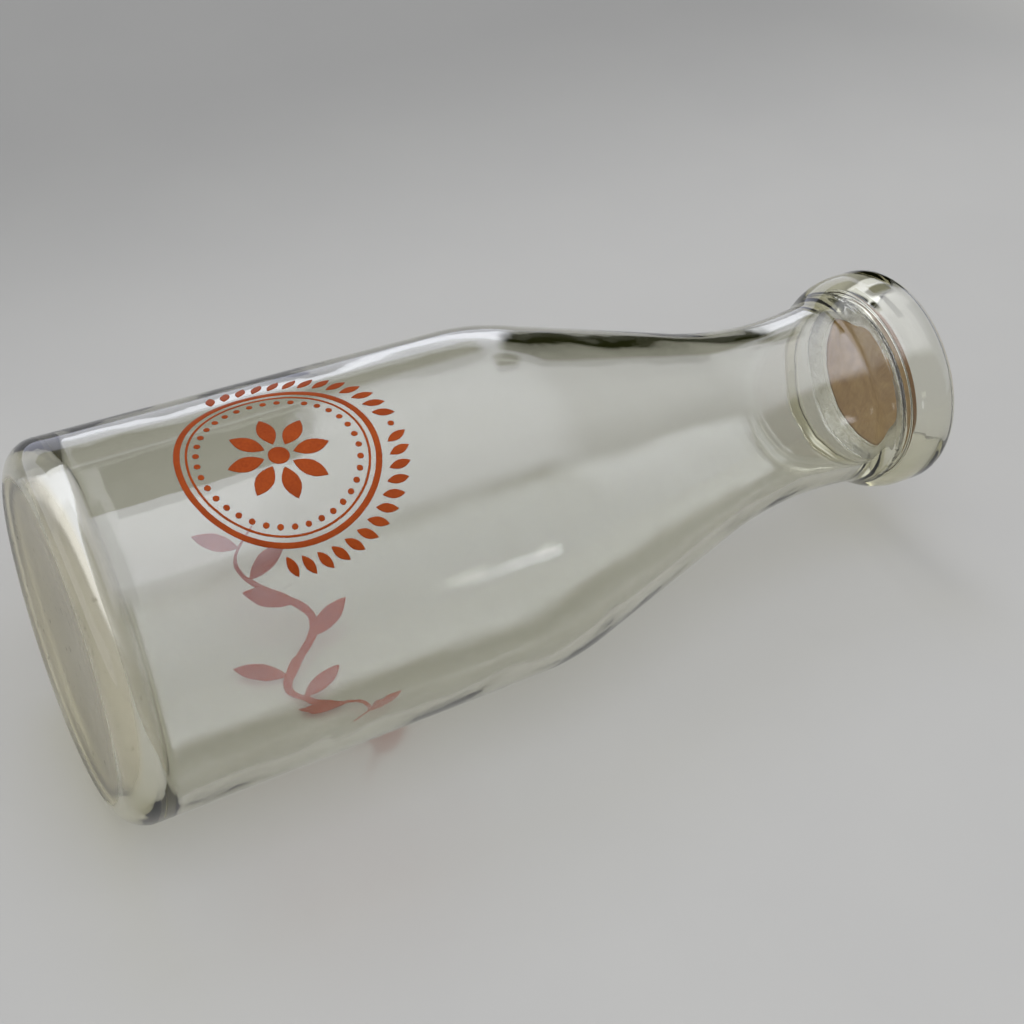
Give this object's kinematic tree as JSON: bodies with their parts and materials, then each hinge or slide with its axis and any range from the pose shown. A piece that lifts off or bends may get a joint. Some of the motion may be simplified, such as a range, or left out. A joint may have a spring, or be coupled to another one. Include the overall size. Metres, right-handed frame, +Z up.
{
  "type": "glass milk bottle",
  "caption": "Round quart glass milk bottle with a beaded lip, fired orange enamel ornaments and a flat paperboard cap seated in its mouth.",
  "frame": {"origin": "centre of the ring that the bottle rests on, on the resting plane", "axes": "+Z up the bottle's axis towards the mouth, -Y out of the middle of the front medallion, +X to the right seen from the front"},
  "size_m": [0.097, 0.097, 0.2431],
  "materials": {
    "clear_glass": "clear pressed and blown soda-lime glass with a faint olive tint where it is thick, lightly scratched",
    "paperboard": "aged tan waxed paperboard, matt, slightly mottled",
    "orange_enamel": "opaque orange-red enamel fired onto the glass, half gloss"
  },
  "bodies": {
    "bottle": {"glass_bottle": "clear_glass", "front_medallion": "orange_enamel", "front_garland": "orange_enamel", "back_vine": "orange_enamel"},
    "cap": {"paper_cap": "paperboard"}
  },
  "joints": [
    {"name": "cap_lift", "type": "slide", "parent": "bottle", "child": "cap", "axis": [0, 0, 1], "range_m": [0, 0.04]}
  ]
}
